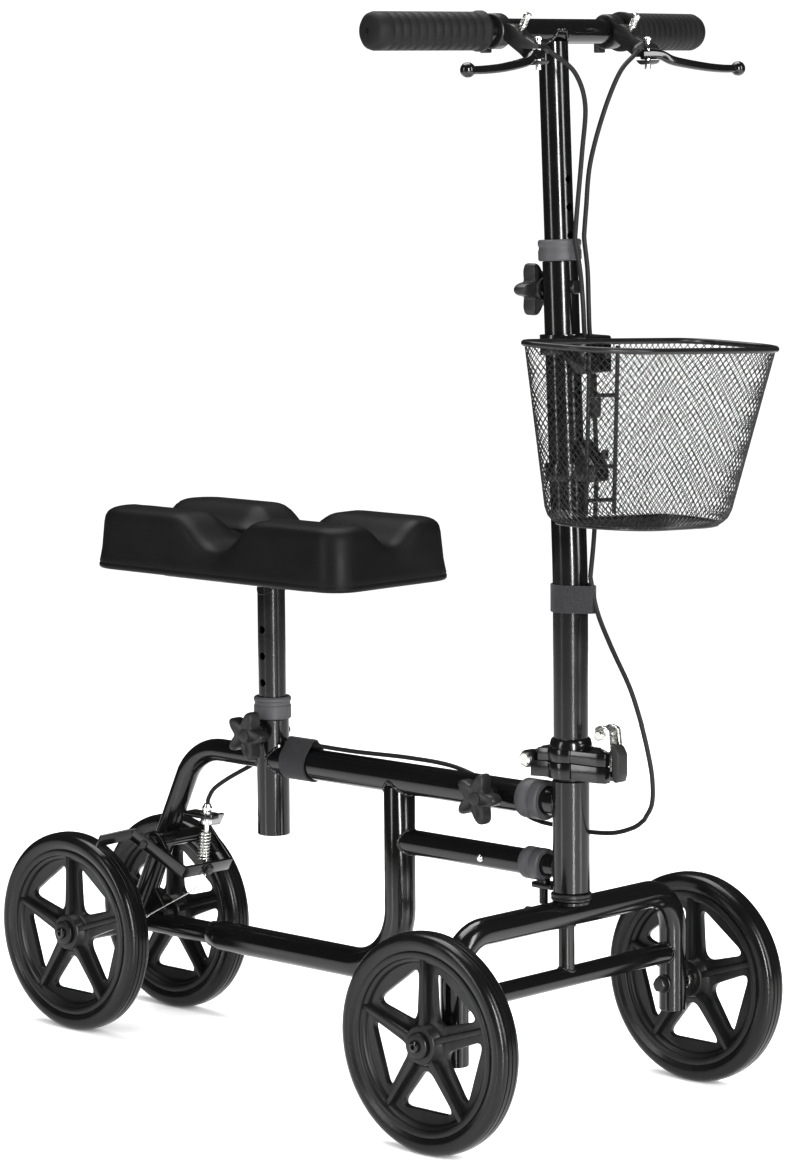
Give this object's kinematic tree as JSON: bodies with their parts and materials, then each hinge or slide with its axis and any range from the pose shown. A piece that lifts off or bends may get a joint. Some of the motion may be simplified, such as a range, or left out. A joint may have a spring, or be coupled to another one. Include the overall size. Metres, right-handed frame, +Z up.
{
  "type": "knee scooter",
  "caption": "Steerable knee scooter with padded knee rest, folding stem, height-adjustable handlebar with brake levers, wire basket and spoked wheels.",
  "frame": {"origin": "middle of the whole part's plan, on the floor under the wheels", "axes": "+Z up, -Y the way it travels, -X the rider's right"},
  "size_m": [0.4376, 0.8687, 1.0048],
  "materials": {
    "main_beam_tube": "gloss black paint",
    "seat_tube": "gloss black paint",
    "frame_loop_tube": "gloss black paint",
    "lower_socket_tube": "gloss black paint",
    "rear_axle_tube": "gloss black paint",
    "rear_axle_rod": "blackened steel",
    "rear_upright_tube": "gloss black paint",
    "brake_pivot_bolt": "blackened steel",
    "beam_front_collar": "moulded plastic",
    "lower_front_collar": "moulded plastic",
    "seat_clamp_collar": "moulded plastic",
    "cable_stop_plate": "gloss black paint",
    "cable_adjuster": "zinc plated",
    "brake_spring": "zinc plated",
    "beam_cable": "cable sheath",
    "head_tube": "gloss black paint",
    "upper_stub_tube": "gloss black paint",
    "lower_stub_tube": "gloss black paint",
    "head_bearing": "blackened steel",
    "head_cable": "cable sheath",
    "steerer_tube": "blackened steel",
    "front_hoop_tube": "gloss black paint",
    "hoop_brace": "gloss black paint",
    "front_axle_bolt_left": "blackened steel",
    "front_axle_bolt_right": "blackened steel",
    "hinge_lower_half": "gloss black paint",
    "hinge_pin": "zinc plated",
    "hinge_cable": "cable sheath",
    "stem_tube": "gloss black paint",
    "stem_top_collar": "moulded plastic",
    "hinge_upper_half": "gloss black paint",
    "hinge_eyebolt": "zinc plated",
    "basket": "satin black coated steel mesh",
    "basket_bracket": "gloss black paint",
    "stem_cable": "cable sheath",
    "hinge_latch_lever": "zinc plated",
    "stem_knob": "moulded plastic",
    "seat_knob": "moulded plastic",
    "beam_knob": "moulded plastic",
    "handlebar_post": "gloss black paint",
    "handlebar_crossbar": "gloss black paint",
    "grip_left": "matte rubber",
    "grip_right": "matte rubber",
    "lever_bracket_left": "moulded plastic",
    "lever_bracket_right": "moulded plastic",
    "lever_cable_left": "cable sheath",
    "lever_cable_right": "cable sheath",
    "lever_blade_left": "gloss black paint",
    "lever_blade_right": "gloss black paint",
    "seat_post": "gloss black paint",
    "knee_pad": "moulded foam skin, satin black",
    "front_wheel_left_rim": "moulded plastic",
    "front_wheel_left_tyre": "solid polyurethane",
    "front_wheel_right_rim": "moulded plastic",
    "front_wheel_right_tyre": "solid polyurethane",
    "rear_wheel_left_rim": "moulded plastic",
    "rear_wheel_left_tyre": "solid polyurethane",
    "rear_wheel_right_rim": "moulded plastic",
    "rear_wheel_right_tyre": "solid polyurethane",
    "brake_bar": "gloss black paint"
  },
  "bodies": {
    "frame": {"main_beam_tube": "main_beam_tube", "seat_tube": "seat_tube", "frame_loop_tube": "frame_loop_tube", "lower_socket_tube": "lower_socket_tube", "rear_axle_tube": "rear_axle_tube", "rear_axle_rod": "rear_axle_rod", "rear_upright_tube": "rear_upright_tube", "brake_pivot_bolt": "brake_pivot_bolt", "beam_front_collar": "beam_front_collar", "lower_front_collar": "lower_front_collar", "seat_clamp_collar": "seat_clamp_collar", "cable_stop_plate": "cable_stop_plate", "cable_adjuster": "cable_adjuster", "brake_spring": "brake_spring", "beam_cable": "beam_cable"},
    "front_frame": {"head_tube": "head_tube", "upper_stub_tube": "upper_stub_tube", "lower_stub_tube": "lower_stub_tube", "head_bearing": "head_bearing", "head_cable": "head_cable"},
    "steering": {"steerer_tube": "steerer_tube", "front_hoop_tube": "front_hoop_tube", "hoop_brace": "hoop_brace", "front_axle_bolt_left": "front_axle_bolt_left", "front_axle_bolt_right": "front_axle_bolt_right", "hinge_lower_half": "hinge_lower_half", "hinge_pin": "hinge_pin", "hinge_cable": "hinge_cable"},
    "stem": {"stem_tube": "stem_tube", "stem_top_collar": "stem_top_collar", "hinge_upper_half": "hinge_upper_half", "hinge_eyebolt": "hinge_eyebolt", "basket": "basket", "basket_bracket": "basket_bracket", "stem_cable": "stem_cable"},
    "latch": {"hinge_latch_lever": "hinge_latch_lever"},
    "stem_knob_body": {"stem_knob": "stem_knob"},
    "seat_knob_body": {"seat_knob": "seat_knob"},
    "beam_knob_body": {"beam_knob": "beam_knob"},
    "handlebar": {"handlebar_post": "handlebar_post", "handlebar_crossbar": "handlebar_crossbar", "grip_left": "grip_left", "grip_right": "grip_right", "lever_bracket_left": "lever_bracket_left", "lever_bracket_right": "lever_bracket_right", "lever_cable_left": "lever_cable_left", "lever_cable_right": "lever_cable_right"},
    "brake_lever_left": {"lever_blade_left": "lever_blade_left"},
    "brake_lever_right": {"lever_blade_right": "lever_blade_right"},
    "seat": {"seat_post": "seat_post", "knee_pad": "knee_pad"},
    "front_wheel_left": {"front_wheel_left_rim": "front_wheel_left_rim", "front_wheel_left_tyre": "front_wheel_left_tyre"},
    "front_wheel_right": {"front_wheel_right_rim": "front_wheel_right_rim", "front_wheel_right_tyre": "front_wheel_right_tyre"},
    "rear_wheel_left": {"rear_wheel_left_rim": "rear_wheel_left_rim", "rear_wheel_left_tyre": "rear_wheel_left_tyre"},
    "rear_wheel_right": {"rear_wheel_right_rim": "rear_wheel_right_rim", "rear_wheel_right_tyre": "rear_wheel_right_tyre"},
    "brake": {"brake_bar": "brake_bar"}
  },
  "joints": [
    {"name": "front_frame_slide", "type": "slide", "parent": "frame", "child": "front_frame", "axis": [0, -1, 0], "range_m": [0, 0.04], "deforming": ["head_cable"]},
    {"name": "steering_turn", "type": "hinge", "parent": "front_frame", "child": "steering", "pos_m": [0, -0.27035, 0.2605], "axis": [0, 0, 1], "range_deg": [-35, 35], "deforming": ["hinge_cable"]},
    {"name": "stem_fold", "type": "hinge", "parent": "steering", "child": "stem", "pos_m": [0, -0.23435, 0.331], "axis": [-1, 0, 0], "range_deg": [0, 35], "deforming": ["stem_cable"]},
    {"name": "latch_lever_turn", "type": "hinge", "parent": "stem", "child": "latch", "pos_m": [0, -0.31235, 0.359], "axis": [-1, 0, 0], "range_deg": [0, 80]},
    {"name": "stem_knob_turn", "type": "hinge", "parent": "stem", "child": "stem_knob_body", "pos_m": [0, -0.24333, 0.757], "axis": [0, 1, 0], "continuous": true},
    {"name": "handlebar_height", "type": "slide", "parent": "stem", "child": "handlebar", "axis": [0, 0.039, 0.9992], "range_m": [-0.1, 0.06], "deforming": ["lever_cable_left", "lever_cable_right"]},
    {"name": "brake_lever_left_squeeze", "type": "hinge", "parent": "handlebar", "child": "brake_lever_left", "pos_m": [0.073, -0.30035, 0.966], "axis": [0, 0, 1], "range_deg": [0, 18], "stiffness_Nm_per_rad": 1.2},
    {"name": "brake_lever_right_squeeze", "type": "hinge", "parent": "handlebar", "child": "brake_lever_right", "pos_m": [-0.073, -0.30035, 0.966], "axis": [0, 0, -1], "range_deg": [0, 18], "stiffness_Nm_per_rad": 1.2},
    {"name": "seat_height", "type": "slide", "parent": "frame", "child": "seat", "axis": [0, 0, 1], "range_m": [-0.1, 0.04]},
    {"name": "seat_knob_turn", "type": "hinge", "parent": "frame", "child": "seat_knob_body", "pos_m": [-0.021, 0.11715, 0.317], "axis": [-1, 0, 0], "continuous": true},
    {"name": "beam_knob_turn", "type": "hinge", "parent": "frame", "child": "beam_knob_body", "pos_m": [-0.0205, -0.18635, 0.2905], "axis": [-1, 0, 0], "continuous": true},
    {"name": "front_wheel_left_spin", "type": "hinge", "parent": "steering", "child": "front_wheel_left", "pos_m": [0.183, -0.26435, 0.1], "axis": [1, 0, 0], "continuous": true},
    {"name": "front_wheel_right_spin", "type": "hinge", "parent": "steering", "child": "front_wheel_right", "pos_m": [-0.183, -0.26435, 0.1], "axis": [1, 0, 0], "continuous": true},
    {"name": "rear_wheel_left_spin", "type": "hinge", "parent": "frame", "child": "rear_wheel_left", "pos_m": [0.069, 0.33435, 0.1], "axis": [1, 0, 0], "continuous": true},
    {"name": "rear_wheel_right_spin", "type": "hinge", "parent": "frame", "child": "rear_wheel_right", "pos_m": [-0.069, 0.33435, 0.1], "axis": [1, 0, 0], "continuous": true},
    {"name": "brake_bar_press", "type": "hinge", "parent": "frame", "child": "brake", "pos_m": [0, 0.25265, 0.196], "axis": [-1, 0, 0], "range_deg": [0, 9], "deforming": ["brake_spring"]}
  ],
  "couplings": [
    {"joint": "brake_bar_press", "follows": "brake_lever_right_squeeze", "ratio": 0.5}
  ]
}
